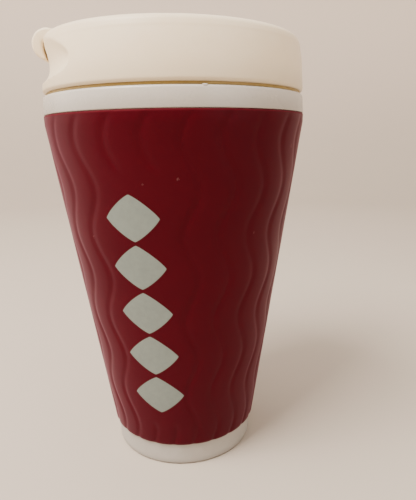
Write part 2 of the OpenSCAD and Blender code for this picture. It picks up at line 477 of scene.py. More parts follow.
def round_axis(tree, vector):
    """The angle from -Y towards +X, the distance from the axis and the height of a place."""
    x, y, z = node(tree, "ShaderNodeSeparateXYZ", {0: vector}).outputs
    angle = calc(tree, "ARCTAN2", x, times(tree, y, -1.0))
    squares = plus(tree, times(tree, x, x), times(tree, y, y))
    return angle, calc(tree, "SQRT", squares), z


def group(name, kind, inputs, outputs):
    """A node group with named sockets, and its input and output nodes."""
    tree = bpy.data.node_groups.new(name, kind)
    for direction, sockets in (("INPUT", inputs), ("OUTPUT", outputs)):
        for socket_name, socket_kind in sockets:
            tree.interface.new_socket(socket_name, in_out=direction, socket_type=socket_kind)
    return tree, node(tree, "NodeGroupInput").outputs, node(tree, "NodeGroupOutput").inputs


FLOAT = "NodeSocketFloat"
GEOMETRY = [("Geometry", "NodeSocketGeometry")]


def shader_group(name, inputs, output):
    """A shader group whose sockets are all numbers, but for one that is a place."""
    sockets = [(s, "NodeSocketVector" if s == "Place" else FLOAT) for s in inputs]
    return group(name, "ShaderNodeTree", sockets, [(output, FLOAT)])


def geometry_group(name, sizes):
    """A geometry tree with a number for each size, and the finish that the result gets."""
    sockets = GEOMETRY + [(s, FLOAT) for s in sizes] + [("Finish", "NodeSocketMaterial")]
    return group(name, "GeometryNodeTree", sockets, GEOMETRY)


def finish_tree(tree, geometry, given, result):
    """Makes what the tree has built real, and gives it its finish."""
    real = node(tree, "GeometryNodeRealizeInstances", {"Geometry": geometry})
    done = node(tree, "GeometryNodeSetMaterial", {"Geometry": real.outputs[0],
                                                  "Material": given["Finish"]})
    tree.links.new(done.outputs[0], result["Geometry"])
    return tree


def run_tree(obj, tree, values):
    """Runs a geometry tree on an object with its named inputs, and keeps the result as plain mesh."""
    modifier = obj.modifiers.new("tree", "NODES")
    modifier.node_group = tree
    sockets = {s.name: s.identifier for s in tree.interface.items_tree if s.in_out == "INPUT"}
    for name, value in values.items():
        modifier[sockets[name]] = value
    return baked(obj)


# ---------------------------------------------------------------- shared shader groups


def mottle_group():
    """Slow blotches and a fine cloud, for colour and roughness that vary a little."""
    tree, given, result = shader_group("mottle", ["Scale", "Fine"], "Tone")
    spot = here(tree)
    slow = node(tree, "ShaderNodeTexNoise",
                {"Vector": spot, "Scale": given["Scale"], "Detail": 3.0, "Roughness": 0.5})
    fine = node(tree, "ShaderNodeTexNoise",
                {"Vector": spot, "Scale": times(tree, given["Scale"], 9.0),
                 "Detail": 4.0, "Roughness": 0.6})
    share = times(tree, fine.outputs[0], given["Fine"])
    rest = times(tree, slow.outputs[0], minus(tree, 1.0, given["Fine"]))
    tree.links.new(plus(tree, share, rest), result["Tone"])
    return tree


def hairline_group():
    """Fine straight hairlines in three directions, each a long thin cell picked here and there."""
    tree, given, result = shader_group("hairlines", ["Scale", "Width", "Share"], "Mask")
    spot = here(tree)
    mask = 0.0
    for tilt in (0.25, 1.1, 2.3):
        turned = node(tree, "ShaderNodeMapping",
                      {"Vector": spot, "Rotation": (tilt, tilt * 1.7, tilt * 0.6),
                       "Scale": (1.0, 1.0, 0.05)})
        cells = node(tree, "ShaderNodeTexVoronoi",
                     {"Vector": turned.outputs[0], "Scale": given["Scale"]})
        line = ramp(tree, cells.outputs["Distance"], given["Width"], 0.0)
        pick = node(tree, "ShaderNodeSeparateColor", {"Color": cells.outputs["Color"]}).outputs[0]
        chosen = calc(tree, "LESS_THAN", pick, given["Share"])
        mask = calc(tree, "MAXIMUM", mask, times(tree, line, chosen))
    tree.links.new(mask, result["Mask"])
    return tree


def speck_group():
    """Small scattered specks of dust or nicks."""
    tree, given, result = shader_group("specks", ["Scale", "Size", "Share"], "Mask")
    spot = here(tree)
    cells = node(tree, "ShaderNodeTexVoronoi", {"Vector": spot, "Scale": given["Scale"]})
    near = calc(tree, "LESS_THAN", cells.outputs["Distance"], given["Size"])
    pick = node(tree, "ShaderNodeSeparateColor", {"Color": cells.outputs["Color"]})
    chosen = calc(tree, "LESS_THAN", pick.outputs[0], given["Share"])
    tree.links.new(times(tree, near, chosen), result["Mask"])
    return tree


def scuff_group():
    """One small ragged scuff at a given place."""
    tree, given, result = shader_group("scuff", ["Place", "Radius"], "Mask")
    spot = here(tree)
    away = node(tree, "ShaderNodeVectorMath", {0: spot, 1: given["Place"]}, operation="DISTANCE")
    grit = node(tree, "ShaderNodeTexNoise", {"Vector": spot, "Scale": 1500.0, "Detail": 2.0})
    near = ramp(tree, away.outputs["Value"], given["Radius"], 0.0)
    rough = ramp(tree, plus(tree, grit.outputs[0], times(tree, near, 0.3)), 0.70, 0.82)
    tree.links.new(times(tree, rough, ramp(tree, near, 0.0, 0.3)), result["Mask"])
    return tree


def mould_group():
    """The faint unevenness of a moulded surface, as a height."""
    tree, given, result = shader_group("mould_skin", ["Scale"], "Height")
    spot = here(tree)
    skin = node(tree, "ShaderNodeTexNoise", {"Vector": spot, "Scale": given["Scale"],
                                             "Detail": 3.0, "Roughness": 0.55})
    tree.links.new(skin.outputs[0], result["Height"])
    return tree


def seam_shade_group():
    """Painted shade along a seam: 1 at the seam's height, gone a little way above it."""
    tree, given, result = shader_group("seam_painted_shade", ["Seam", "Reach", "Breakup"], "Mask")
    ragged = node(tree, "ShaderNodeTexNoise", {"Vector": here(tree), "Scale": 90.0, "Detail": 3.0})
    off = times(tree, minus(tree, ragged.outputs[0], 0.5), given["Breakup"])
    above = plus(tree, minus(tree, height(tree), given["Seam"]), off)
    share = calc(tree, "DIVIDE", above, given["Reach"])
    kept = ramp(tree, share, 1.0, 0.0)
    below = calc(tree, "GREATER_THAN", above, -1.5 * MM)
    tree.links.new(times(tree, kept, below), result["Mask"])
    return tree


MOTTLE = mottle_group()
SEAM_SHADE = seam_shade_group()
HAIRLINES = hairline_group()
SPECKS = speck_group()
SCUFF = scuff_group()
MOULD = mould_group()


def use(tree, shared, inputs, output):
    """Places a shared group in a material with its own values."""
    return node(tree, "ShaderNodeGroup", inputs, node_tree=shared).outputs[output]


def mixed(tree, factor, first, second):
    """A colour between two colours."""
    sockets = {0: factor, 6: first, 7: second}
    return node(tree, "ShaderNodeMix", sockets, data_type="RGBA").outputs[2]


def between(tree, value, least, most):
    """Spreads a value from 0..1 over least..most."""
    return node(tree, "ShaderNodeMapRange", {"Value": value, "To Min": least, "To Max": most}).outputs[0]


def new_material(name):
    """A material, its tree and its Principled shader."""
    material = bpy.data.materials.new(name)
    material.use_nodes = True
    tree = material.node_tree
    shader = tree.nodes["Principled BSDF"]
    return material, tree, shader


def skin_bump(tree, shader, relief, strength, distance):
    """Feeds a surface's relief to the shader's normal."""
    bump = node(tree, "ShaderNodeBump", {"Height": relief, "Strength": strength,
                                         "Distance": distance})
    tree.links.new(bump.outputs["Normal"], shader.inputs["Normal"])


def plastic(name, colour, aged, rough, gloss, seam, reach):
    """Moulded plastic, a little yellowed and scuffed, with painted shade that darkens it towards a seam.

    aged is the colour of its older patches, gloss the specular level, and seam the height that the
    painted shade starts from.
    """
    material, tree, shader = new_material(name)
    tone = use(tree, MOTTLE, {"Scale": 28.0, "Fine": 0.3}, "Tone")
    hair = use(tree, HAIRLINES, {"Scale": 260.0, "Width": 0.035, "Share": 0.12}, "Mask")
    dust = use(tree, SPECKS, {"Scale": 420.0, "Size": 0.12, "Share": 0.03}, "Mask")
    body = mixed(tree, ramp(tree, tone, 0.35, 0.7), colour, aged)
    # painted shade: the surface darkens towards the seam, and the dust specks take the same dark colour
    shade_and_dust_colour = tuple(c * 0.72 for c in aged[:3]) + (1.0,)
    painted_shade = use(tree, SEAM_SHADE, {"Seam": seam, "Reach": reach, "Breakup": 0.8 * MM}, "Mask")
    shaded_body = mixed(tree, times(tree, painted_shade, 0.75), body, shade_and_dust_colour)
    marked = mixed(tree, times(tree, dust, 0.5), shaded_body, shade_and_dust_colour)
    tree.links.new(marked, shader.inputs["Base Color"])
    roughness = plus(tree, between(tree, tone, rough - 0.06, rough + 0.08), times(tree, hair, 0.18))
    tree.links.new(roughness, shader.inputs["Roughness"])
    shader.inputs["IOR"].default_value = 1.49
    shader.inputs["Specular IOR Level"].default_value = gloss
    relief = minus(tree, use(tree, MOULD, {"Scale": 260.0}, "Height"), times(tree, hair, 0.35))
    skin_bump(tree, shader, relief, 0.12, 0.0002)
    return material


# the print is a plain column of lozenges on the smooth panel
PRINT_LEFT = math.radians(-32)
PRINT_WIDTH = 17.6 * MM
PRINT_LOW = 24 * MM
PRINT_HIGH = 103 * MM
LOZENGES = 5
LOZENGE_GAP = 1.2 * MM


def print_mask(tree):
    """1 on the printed lozenges and 0 elsewhere, from the place on the cone."""
    angle, radius, z = round_axis(tree, here(tree))
    along = times(tree, radius, minus(tree, angle, PRINT_LEFT))
    across = calc(tree, "ABSOLUTE", minus(tree, along, PRINT_WIDTH / 2))
    step = (PRINT_HIGH - PRINT_LOW + LOZENGE_GAP) / LOZENGES
    turn = calc(tree, "DIVIDE", minus(tree, z, PRINT_LOW), step)
    middle = (step - LOZENGE_GAP) / 2
    rise = times(tree, calc(tree, "FRACT", turn), step)
    up = calc(tree, "ABSOLUTE", minus(tree, rise, middle))
    wide = calc(tree, "POWER", calc(tree, "DIVIDE", across, PRINT_WIDTH / 2), 1.2)
    tall = calc(tree, "POWER", calc(tree, "DIVIDE", up, middle), 1.2)
    inside = node(tree, "ShaderNodeMapRange",
                  {"Value": plus(tree, wide, tall), "From Min": 1.01, "From Max": 0.99})
    in_column = times(tree, calc(tree, "GREATER_THAN", turn, 0.0),
                      calc(tree, "LESS_THAN", turn, float(LOZENGES)))
    return times(tree, inside.outputs[0], in_column)


# the sleeve's few larger scuffs: angle, height and radius of each
SCUFFS = [(math.radians(-14), 105.8 * MM, 1.1 * MM), (math.radians(0), 107.5 * MM, 1.0 * MM),
          (math.radians(36), 89 * MM, 1.0 * MM), (math.radians(57), 116 * MM, 1.3 * MM),
          (math.radians(-43), 88.5 * MM, 1.2 * MM), (math.radians(150), 70 * MM, 1.8 * MM),
          (math.radians(-120), 45 * MM, 1.4 * MM)]


def sleeve_material():
    """Burgundy semi-gloss plastic with the pale print, fine scratches and pale specks."""
    material, tree, shader = new_material("burgundy_sleeve")
    tone = use(tree, MOTTLE, {"Scale": 24.0, "Fine": 0.35}, "Tone")
    hair = use(tree, HAIRLINES, {"Scale": 240.0, "Width": 0.035, "Share": 0.10}, "Mask")
    nicks = use(tree, SPECKS, {"Scale": 210.0, "Size": 0.10, "Share": 0.02}, "Mask")
    dye = mixed(tree, ramp(tree, tone, 0.3, 0.7), (0.058, 0.0005, 0.0042, 1), (0.051, 0.0004, 0.0037, 1))
    # painted highlight: a lighter crimson band along the top lip, where the rounded edge catches the light;
    # the band is also made rougher
    edge = ramp(tree, height(tree), sleeve_top - 0.75 * MM, sleeve_top - 0.35 * MM)
    painted_lip_highlight = mixed(tree, times(tree, edge, between(tree, tone, 0.3, 0.9)), dye,
                   (0.105, 0.006, 0.012, 1))
    scuffed = mixed(tree, times(tree, hair, 0.22), painted_lip_highlight, (0.24, 0.06, 0.07, 1))
    for angle, z, radius in SCUFFS:
        spot = (sleeve_r(z) * math.sin(angle), -sleeve_r(z) * math.cos(angle), z)
        nicks = calc(tree, "MAXIMUM", nicks,
                     use(tree, SCUFF, {"Place": spot, "Radius": radius}, "Mask"))
    nicked = mixed(tree, times(tree, nicks, 0.15), scuffed, (0.40, 0.20, 0.20, 1))
    ink_tone = use(tree, MOTTLE, {"Scale": 60.0, "Fine": 0.6}, "Tone")
    ink = mixed(tree, ramp(tree, ink_tone, 0.3, 0.75), (0.200, 0.230, 0.205, 1), (0.175, 0.200, 0.180, 1))
    worn = mixed(tree, times(tree, hair, 0.35), ink, (0.14, 0.115, 0.11, 1))
    shown = print_mask(tree)
    tree.links.new(mixed(tree, shown, nicked, worn), shader.inputs["Base Color"])
    gloss = plus(tree, between(tree, tone, 0.36, 0.46), times(tree, hair, 0.15))
    matt = plus(tree, gloss, plus(tree, times(tree, shown, 0.12), times(tree, edge, 0.2)))
    tree.links.new(matt, shader.inputs["Roughness"])
    shader.inputs["IOR"].default_value = 1.45
    shader.inputs["Specular IOR Level"].default_value = 0.07
    shader.inputs["Sheen Weight"].default_value = 0.12
    shader.inputs["Sheen Roughness"].default_value = 0.4
    shader.inputs["Sheen Tint"].default_value = (1.0, 0.33, 0.54, 1)
    raised = plus(tree, use(tree, MOULD, {"Scale": 320.0}, "Height"), times(tree, shown, 0.5))
    skin_bump(tree, shader, raised, 0.12, 0.0002)
    return material


def silicone(name, colour, edge, rough):
    """Soft silicone, matt, a little darker where it has aged."""
    material, tree, shader = new_material(name)
    tone = use(tree, MOTTLE, {"Scale": 70.0, "Fine": 0.4}, "Tone")
    tree.links.new(mixed(tree, ramp(tree, tone, 0.3, 0.7), colour, edge), shader.inputs["Base Color"])
    tree.links.new(between(tree, tone, rough - 0.08, rough + 0.08), shader.inputs["Roughness"])
    shader.inputs["IOR"].default_value = 1.43
    skin_bump(tree, shader, use(tree, MOULD, {"Scale": 500.0}, "Height"), 0.15, 0.0001)
    return material


# each plastic darkens towards a seam with painted shade: the lid towards the seal, the collar towards the
# sleeve's top, the base cap towards the floor
CREAM = plastic("cream_plastic", (0.885, 0.75, 0.55, 1), (0.865, 0.715, 0.495, 1), 0.32, 0.22,
                seal_top, 9 * MM)
WHITE = plastic("white_plastic", (0.54, 0.50, 0.455, 1), (0.51, 0.465, 0.41, 1), 0.26, 0.4,
                sleeve_top, 6 * MM)
# the base cap's white is a darker, shaded copy of the white plastic: painted shade on the base cap
SHADED_WHITE = plastic("shaded_white_plastic", (0.405, 0.38, 0.35, 1), (0.37, 0.338, 0.302, 1), 0.34,
                     0.3, 0.0, 3 * MM)
BURGUNDY = sleeve_material()
AMBER = silicone("amber_seal", (0.33, 0.225, 0.06, 1), (0.26, 0.165, 0.04, 1), 0.45)
PALE = silicone("stopper_silicone", (0.62, 0.58, 0.51, 1), (0.55, 0.50, 0.43, 1), 0.5)


# ---------------------------------------------------------------- ripple sleeve


def ripple_tree():
    """Presses wavy grooves into the outer skin of a turned sleeve."""
    sizes = ["Groove Count", "Groove Depth", "Groove Share", "Flute Crown", "First Groove",
             "Wave Swing", "Wave Length", "Wave Crest", "Panel Middle", "Panel Half",
             "Panel Low", "Panel High", "Top Edge"]
    tree, given, result = geometry_group("wavy_ripples", sizes)
    angle, radius, z = round_axis(tree, node(tree, "GeometryNodeInputPosition").outputs[0])
    # how far the point lies from the nearest groove: 0 in it, 1 on the middle of a flute
    pitch = calc(tree, "DIVIDE", 2 * math.pi, given["Groove Count"])
    phase = calc(tree, "DIVIDE", minus(tree, angle, given["First Groove"]), pitch)
    away = times(tree, 2.0, calc(tree, "ABSOLUTE", minus(tree, phase, calc(tree, "ROUND", phase))))
    reach = calc(tree, "MINIMUM", 1.0, calc(tree, "DIVIDE", away, given["Groove Share"]))
    bowl = calc(tree, "MULTIPLY_ADD", calc(tree, "COSINE", times(tree, reach, math.pi)), 0.5, 0.5)
    fall = minus(tree, 1.0, away)
    crown = times(tree, given["Flute Crown"], times(tree, fall, fall))
    press = plus(tree, times(tree, given["Groove Depth"], bowl), crown)
    # the printed panel stays smooth, and the grooves run out just under the top edge
    side = calc(tree, "ABSOLUTE", minus(tree, angle, given["Panel Middle"]))
    beside = ramp(tree, side, given["Panel Half"], plus(tree, given["Panel Half"], math.radians(3.0)))
    under = ramp(tree, z, given["Panel Low"], minus(tree, given["Panel Low"], 4 * MM))
    over = ramp(tree, z, given["Panel High"], plus(tree, given["Panel High"], 5 * MM))
    outside = calc(tree, "MAXIMUM", beside, calc(tree, "MAXIMUM", under, over))
    top = ramp(tree, z, given["Top Edge"], minus(tree, given["Top Edge"], 2.5 * MM))
    skin = node(tree, "GeometryNodeInputNamedAttribute", {"Name": "skin"},
                data_type="FLOAT").outputs["Attribute"]
    kept = times(tree, skin, calc(tree, "MULTIPLY_ADD", top, 0.85, 0.15))
    depth = times(tree, times(tree, press, outside), kept)
    waves = calc(tree, "DIVIDE", minus(tree, z, given["Wave Crest"]), given["Wave Length"])
    wave = calc(tree, "COSINE", times(tree, 2 * math.pi, waves))
    turned = plus(tree, angle, times(tree, given["Wave Swing"], wave))
    pressed = minus(tree, radius, depth)
    new_x = times(tree, pressed, calc(tree, "SINE", turned))
    new_y = times(tree, times(tree, pressed, calc(tree, "COSINE", turned)), -1.0)
    moved = node(tree, "ShaderNodeCombineXYZ", {0: new_x, 1: new_y, 2: z})
    shaped = node(tree, "GeometryNodeSetPosition",
                  {"Geometry": given["Geometry"], "Position": moved.outputs[0]})
    return finish_tree(tree, shaped.outputs[0], given, result)


def groove_angles():
    """Columns round the sleeve, closer together in each groove."""
    angles = []
    for groove in range(GROOVES):
        for i in range(COLUMNS_PER_GROOVE):
            s = i / COLUMNS_PER_GROOVE - 0.5
            p = s * (0.35 + 1.3 * abs(s))
            angles.append(FIRST_GROOVE + (groove + p) * 2 * math.pi / GROOVES)
    return angles


def make_sleeve():
    """The burgundy outer wall."""
    corner_z = band_top + SLEEVE_CORNER
    lip_z = sleeve_top - SLEEVE_LIP
    swell_z = lip_z - (SLEEVE_TOP_R + SLEEVE_SWELL - sleeve_edge_r) / sleeve_slope
    outer = ([(SLEEVE_BOTTOM_R - SLEEVE_CORNER, band_top)]
             + arc(sleeve_r(corner_z) - SLEEVE_CORNER, corner_z, SLEEVE_CORNER, -80, -8, 5)
             + [(sleeve_r(swell_z) + SLEEVE_SWELL, swell_z)]
             + arc(sleeve_edge_r - SLEEVE_LIP, lip_z, SLEEVE_LIP, -2, 90, 5))
    inner = [(bore_r(sleeve_top) + SLEEVE_CHAMFER, sleeve_top), (bore_r(lip_z), lip_z),
             (bore_r(band_top), band_top)]
    sleeve = lathe("sleeve_rippled", rows(outer, 1.2 * MM, closed=False) + inner, groove_angles())
    skin = sleeve.data.attributes.new("skin", "FLOAT", "POINT")
    for vert, value in zip(sleeve.data.vertices, skin.data):
        radius = math.hypot(vert.co.x, vert.co.y)
        value.value = clamped((radius - bore_r(vert.co.z) - SKIN_START) / MM)
    run_tree(sleeve, ripple_tree(),
             {"Groove Count": float(GROOVES), "Groove Depth": GROOVE_DEPTH,
              "Groove Share": GROOVE_SHARE, "Flute Crown": FLUTE_CROWN,
              "First Groove": FIRST_GROOVE, "Wave Swing": WAVE_SWING,
              "Wave Length": WAVE_LENGTH, "Wave Crest": WAVE_CREST_Z,
              "Panel Middle": PANEL_MIDDLE, "Panel Half": PANEL_HALF,
              "Panel Low": PANEL_LOW, "Panel High": PANEL_HIGH,
              "Top Edge": sleeve_top, "Finish": BURGUNDY})
    return sleeve


# ---------------------------------------------------------------- base, liner and seal


def make_base():
    """The white cap under the sleeve, with a shallow groove in its underside."""
    foot_r = band_r - BAND_TAPER
    seat_r = bore_r(band_top) - SEAT_GAP
    groove_r = band_r - FOOT_RIM
    outline = ([(0, 0), (FOOT_R, 0), (FOOT_R + FOOT_GROOVE, FOOT_GROOVE),
                (groove_r - FOOT_GROOVE, FOOT_GROOVE), (groove_r, 0)]
               + arc(foot_r - CAP_CORNER, CAP_CORNER, CAP_CORNER, -90, 0)
               + [(band_r, band_top - CAP_EDGE), (band_r - CAP_EDGE, band_top),
                  (seat_r, band_top), (seat_r, cap_top), (seat_r - PLUG_WALL, cap_top),
                  (seat_r - PLUG_WALL, CAP_PLATE), (0, CAP_PLATE)])
    return lathe("base_white", outline)


def thread_tree():
    """Sweeps a ridge with a trapezoid section up a helix, thinning out at both ends."""
    sizes = ["Radius", "Pitch", "Turns", "Start Height", "Root", "Crest", "Reach", "Facing"]
    tree, given, result = geometry_group("helical_ridge", sizes)
    helix = node(tree, "GeometryNodeCurveSpiral",
                 {"Resolution": 96, "Rotations": given["Turns"], "Start Radius": given["Radius"],
                  "End Radius": given["Radius"],
                  "Height": times(tree, given["Turns"], given["Pitch"]),
                  "Reverse": True})
    upright = node(tree, "GeometryNodeSetCurveNormal", {"Curve": helix.outputs[0]}, mode="Z_UP")
    along = node(tree, "GeometryNodeSplineParameter").outputs["Factor"]
    ends = times(tree, ramp(tree, along, -0.01, 0.07), ramp(tree, along, 1.01, 0.93))
    tapered = node(tree, "GeometryNodeSetCurveRadius", {"Curve": upright.outputs[0], "Radius": ends})
    section = node(tree, "GeometryNodeCurvePrimitiveQuadrilateral",
                   {"Bottom Width": given["Root"], "Top Width": given["Crest"],
                    "Height": given["Reach"], "Offset": 0.0}, mode="TRAPEZOID")
    facing = node(tree, "ShaderNodeCombineXYZ", {2: given["Facing"]})
    turned = node(tree, "GeometryNodeTransform",
                  {"Geometry": section.outputs[0], "Rotation": facing.outputs[0]})
    ridge = node(tree, "GeometryNodeCurveToMesh",
                 {"Curve": tapered.outputs[0], "Profile Curve": turned.outputs[0],
                  "Scale": ends, "Fill Caps": True})
    lifted = node(tree, "GeometryNodeTransform",
                  {"Geometry": ridge.outputs[0],
                   "Translation": node(tree, "ShaderNodeCombineXYZ",
                                       {2: given["Start Height"]}).outputs[0]})
    return finish_tree(tree, lifted.outputs[0], given, result)


THREAD = thread_tree()


def thread_ridge(name, wall_r, start, finish, out):
    """One thread ridge, its root sunk a little into a round wall. out is 1 or -1: where its crest points."""
    obj = bpy.data.objects.new(name, bpy.data.meshes.new(name))
    bpy.context.scene.collection.objects.link(obj)
    run_tree(obj, THREAD, {"Radius": wall_r + out * (THREAD_H / 2 - THREAD_SINK), "Pitch": PITCH,
                           "Turns": THREAD_TURNS, "Start Height": start, "Root": THREAD_ROOT,
                           "Crest": THREAD_CREST, "Reach": THREAD_H,
                           "Facing": -out * math.pi / 2, "Finish": finish})
    return tidied(obj)


def make_burr():
    """The small burr that moulding left on the collar's top edge."""
    build = bmesh.new()
    bmesh.ops.create_uvsphere(build, u_segments=20, v_segments=12, radius=1.0)
    burr = finish_mesh("burr", build)
    place(burr, Matrix.Diagonal((BURR_LENGTH, BURR_R, BURR_R, 1)))
    place(burr, Matrix.Translation((0, -(collar_r - COLLAR_LEAN - BURR_R), rim_top - 0.15 * MM)))
    return place(burr, Matrix.Rotation(BURR_ANGLE, 4, "Z"))


def make_liner():
    """The white inner cup with its collar, mouth and internal thread."""
    mouth_z = rim_top - MOUTH_DEPTH
    gap_z = sleeve_top + COLLAR_SHADOW_GAP
    seat_r = bore_r(sleeve_top) - SEAT_GAP
    spigot_z = sleeve_top - SPIGOT_DEPTH
    spigot_r = bore_r(spigot_z) - SEAT_GAP
    foot_r = bore_r(liner_low) - AIR_GAP
    floor_z = liner_low + LINER_FLOOR
    floor_r = foot_r - LINER_WALL
    top_r = collar_r - COLLAR_LEAN
    wall_r = mouth_r + LINER_WALL
    step_r = collar_r - COLLAR_OVERHANG
    spigot_in = spigot_r - SPIGOT_WALL
    under_z = rim_top - COLLAR_TOP
    outline = (arc(mouth_r + MOUTH_CORNER, rim_top - MOUTH_CORNER, MOUTH_CORNER, 180, 90, 4)
               + arc(top_r - COLLAR_CORNER, rim_top - COLLAR_CORNER, COLLAR_CORNER, 90, 4)
               + arc(collar_r - COLLAR_EDGE, gap_z + COLLAR_EDGE, COLLAR_EDGE, 0, -90, 4)
               + [(step_r, gap_z), (step_r, sleeve_top), (seat_r, sleeve_top), (spigot_r, spigot_z),
                  (spigot_in, spigot_z), (spigot_in, under_z), (wall_r, under_z), (wall_r, mouth_z)]
               + arc(foot_r - FOOT_CORNER, liner_low + FOOT_CORNER, FOOT_CORNER, 0, -90)
               + [(0, liner_low), (0, floor_z)]
               + arc(floor_r - FLOOR_CORNER, floor_z + FLOOR_CORNER, FLOOR_CORNER, -90, 0)
               + [(mouth_r, mouth_z)])
    liner = lathe("inner_cup_white", outline)
    thread_z = skirt_low + SKIRT_THREAD_Z + THREAD_REST
    ridge = thread_ridge("mouth_thread", mouth_r, thread_z, WHITE, -1)
    return combined(liner, [make_burr(), ridge], "UNION")


def make_seal():
    """The amber ring between the collar and the lid, its outer edge rounded."""
    inner_r = skirt_r + SEAL_GAP
    edge_r = seal_r - SEAL_CORNER
    outline = ([(inner_r, rim_top)]
               + arc(edge_r, rim_top + SEAL_CORNER, SEAL_CORNER, -90, 0, 5)
               + arc(edge_r, seal_top - SEAL_CORNER, SEAL_CORNER, 0, 90, 5)
               + [(inner_r, seal_top)])
    return lathe("seal_amber", outline)


# ---------------------------------------------------------------- lid


def scoop(angle, z):
    """How deep the lip scoop lies at an angle and height on the lid's side.

    It is a hollow for the lip: long and soft towards the rim, short and steep below, with a blunt end.
    """
    turn = abs((math.degrees(angle) + 90 + 180) % 360 - 180) / SCOOP_HALF_DEGREES
    if turn >= 1:
        return 0.0
    share = math.sqrt(1 - turn * turn)
    up = z - seal_top - SCOOP_MIDDLE
    if up > 0:
        off = up / (SCOOP_UP * share)
        softness = SCOOP_SOFT_UP - 0.5 * turn
    else:
        off = up / (SCOOP_DOWN * (1 - turn ** 3) ** (1 / 3))
        softness = SCOOP_SOFT_DOWN
    bowl = max(0.0, 1 - off * off) ** softness
    return SCOOP_DEPTH * share ** 0.8 * bowl * (1 - SCOOP_SKEW * off)


def lid_angles():
    """Columns round the lid, closer together across the scoop."""
    middle, reach, fine, coarse = -90, SCOOP_HALF_DEGREES + 5, 150, 190
    across = [middle - reach + 2 * reach * i / fine for i in range(fine)]
    rest = [middle + reach + (360 - 2 * reach) * i / coarse for i in range(coarse)]
    return [math.radians(a) for a in across + rest]


def shoulder_fall(z):
    """How far the lid's side has rounded in below the shoulder."""
    rise = clamped((z - seal_top - FALL_START) / FALL_RUN)
    fade = clamped((lid_top - FALL_TOP - z) / FALL_RETURN)
    return SHOULDER_FALL * rise * rise * fade


def lip_rise(angle, radius):
    """How far the rim stands up towards the drinking side, with a notch that the strap lies in."""
    x, y = radius * math.sin(angle), -radius * math.cos(angle)
    share = max(0.0, (RISE_START_X - x) / RISE_RUN)
    beside = clamped((abs(y) - STRAP_W / 2 - NOTCH_GAP) / NOTCH_RAMP)
    notch = beside * beside * (3 - 2 * beside) if x < hinge.x else 1.0
    return LIP_RISE * share * share * notch


def make_ear(side):
    """One hinge ear on the deck, with a rounded top."""
    radius = ear_top - hinge.z
    foot_z = lid_top - DISH_DEPTH - EAR_SINK
    outline = ([(hinge.x - radius, foot_z), (hinge.x + radius, foot_z)]
               + arc(hinge.x, hinge.z, radius, 0, 180, 16))
    y0, y1 = sorted((side * trunnion_end, side * (trunnion_end - EAR_T)))
    return slab("ear", outline, y0, y1, EAR_BEVEL)


def rod(name, x, z, radius, half, axis):
    """A cylinder centred at (x, 0, z), along Y or Z, reaching half its length each way."""
    build = bmesh.new()
    bmesh.ops.create_cone(build, cap_ends=True, segments=64, radius1=radius, radius2=radius,
                          depth=2 * half)
    turn = Matrix.Rotation(math.pi / 2, 4, "X") if axis == "Y" else Matrix.Identity(4)
    return place(finish_mesh(name, build), Matrix.Translation((x, 0, z)) @ turn)


def make_lid():
    """The cream lid: shoulder, scooped lip, dished deck with its holes, ears and threaded skirt."""
    side_top = lid_r - LID_TAPER
    dish_z = lid_top - DISH_DEPTH
    dish_top_r = lid_r - DECK_WIDTH
    dish_r = dish_top_r - DISH_DEPTH / 2
    inside_r = lid_r - LID_WALL
    skirt_in = skirt_r - LID_WALL
    outer = rows(arc(lid_r - LID_CORNER, seal_top + LID_CORNER, LID_CORNER, -90, 0)
                 + arc(side_top - SHOULDER_R, lid_top - SHOULDER_R, SHOULDER_R, 3, 90, 14)
                 + [(dish_top_r + DISH_EDGE_SET, lid_top)], 0.45 * MM, closed=False)
    deck = (arc(dish_top_r + DISH_EDGE, lid_top - DISH_EDGE, DISH_EDGE, 90, 150, 5)
            + arc(dish_r - DISH_FOOT_SET, dish_z + DISH_EDGE, DISH_EDGE, -30, -90, 5)
            + [(0, dish_z), (0, dish_z - LID_WALL), (skirt_in, dish_z - LID_WALL)]
            + arc(skirt_in + SKIRT_CORNER, skirt_low + SKIRT_CORNER, SKIRT_CORNER, 180, 270, 4)
            + arc(skirt_r - SKIRT_CORNER, skirt_low + SKIRT_CORNER, SKIRT_CORNER, -90, 0, 4)
            + [(skirt_r, lid_top - LID_WALL),
               (side_top - LID_WALL - LID_INSIDE_CORNER, lid_top - LID_WALL)])
    wall_top = lid_top - LID_WALL - LID_INSIDE_CORNER
    count = 24
    wall = [(side_top - LID_WALL + (inside_r - side_top + LID_WALL) * i / count,
             wall_top + (seal_top - wall_top) * i / count) for i in range(count + 1)]
    outline = outer + deck + wall
    first_wall = len(outer) + len(deck)

    def shape(index, angle, radius, z):
        on_side = index < len(outer) and radius > side_top - SHOULDER_R
        if on_side or index >= first_wall:
            radius -= scoop(angle, z)
        if on_side:
            radius -= shoulder_fall(z)
        if index < len(outer) + 6:
            high_up = clamped((z - seal_top - RISE_FOOT) / RISE_BLEND)
            z += lip_rise(angle, radius) * high_up * high_up
        return radius, z

    lid = lathe("lid_cream", outline, lid_angles(), shape)
    combined(lid, [make_ear(side) for side in (-1, 1)], "UNION")
    floor_mid = dish_z - LID_WALL / 2
    cutters = [rod("hole", stopper_x, floor_mid, HOLE_R, LID_WALL, "Z"),
               rod("vent", VENT_X, floor_mid, VENT_R, LID_WALL, "Z"),
               rod("bore", hinge.x, hinge.z, TRUNNION_R + TRUNNION_GAP, 20 * MM, "Y")]
    combined(lid, cutters, "DIFFERENCE")
    ridge = thread_ridge("skirt_thread", skirt_r, skirt_low + SKIRT_THREAD_Z, CREAM, 1)
    return combined(lid, [ridge], "UNION")


# ---------------------------------------------------------------- tab and stopper


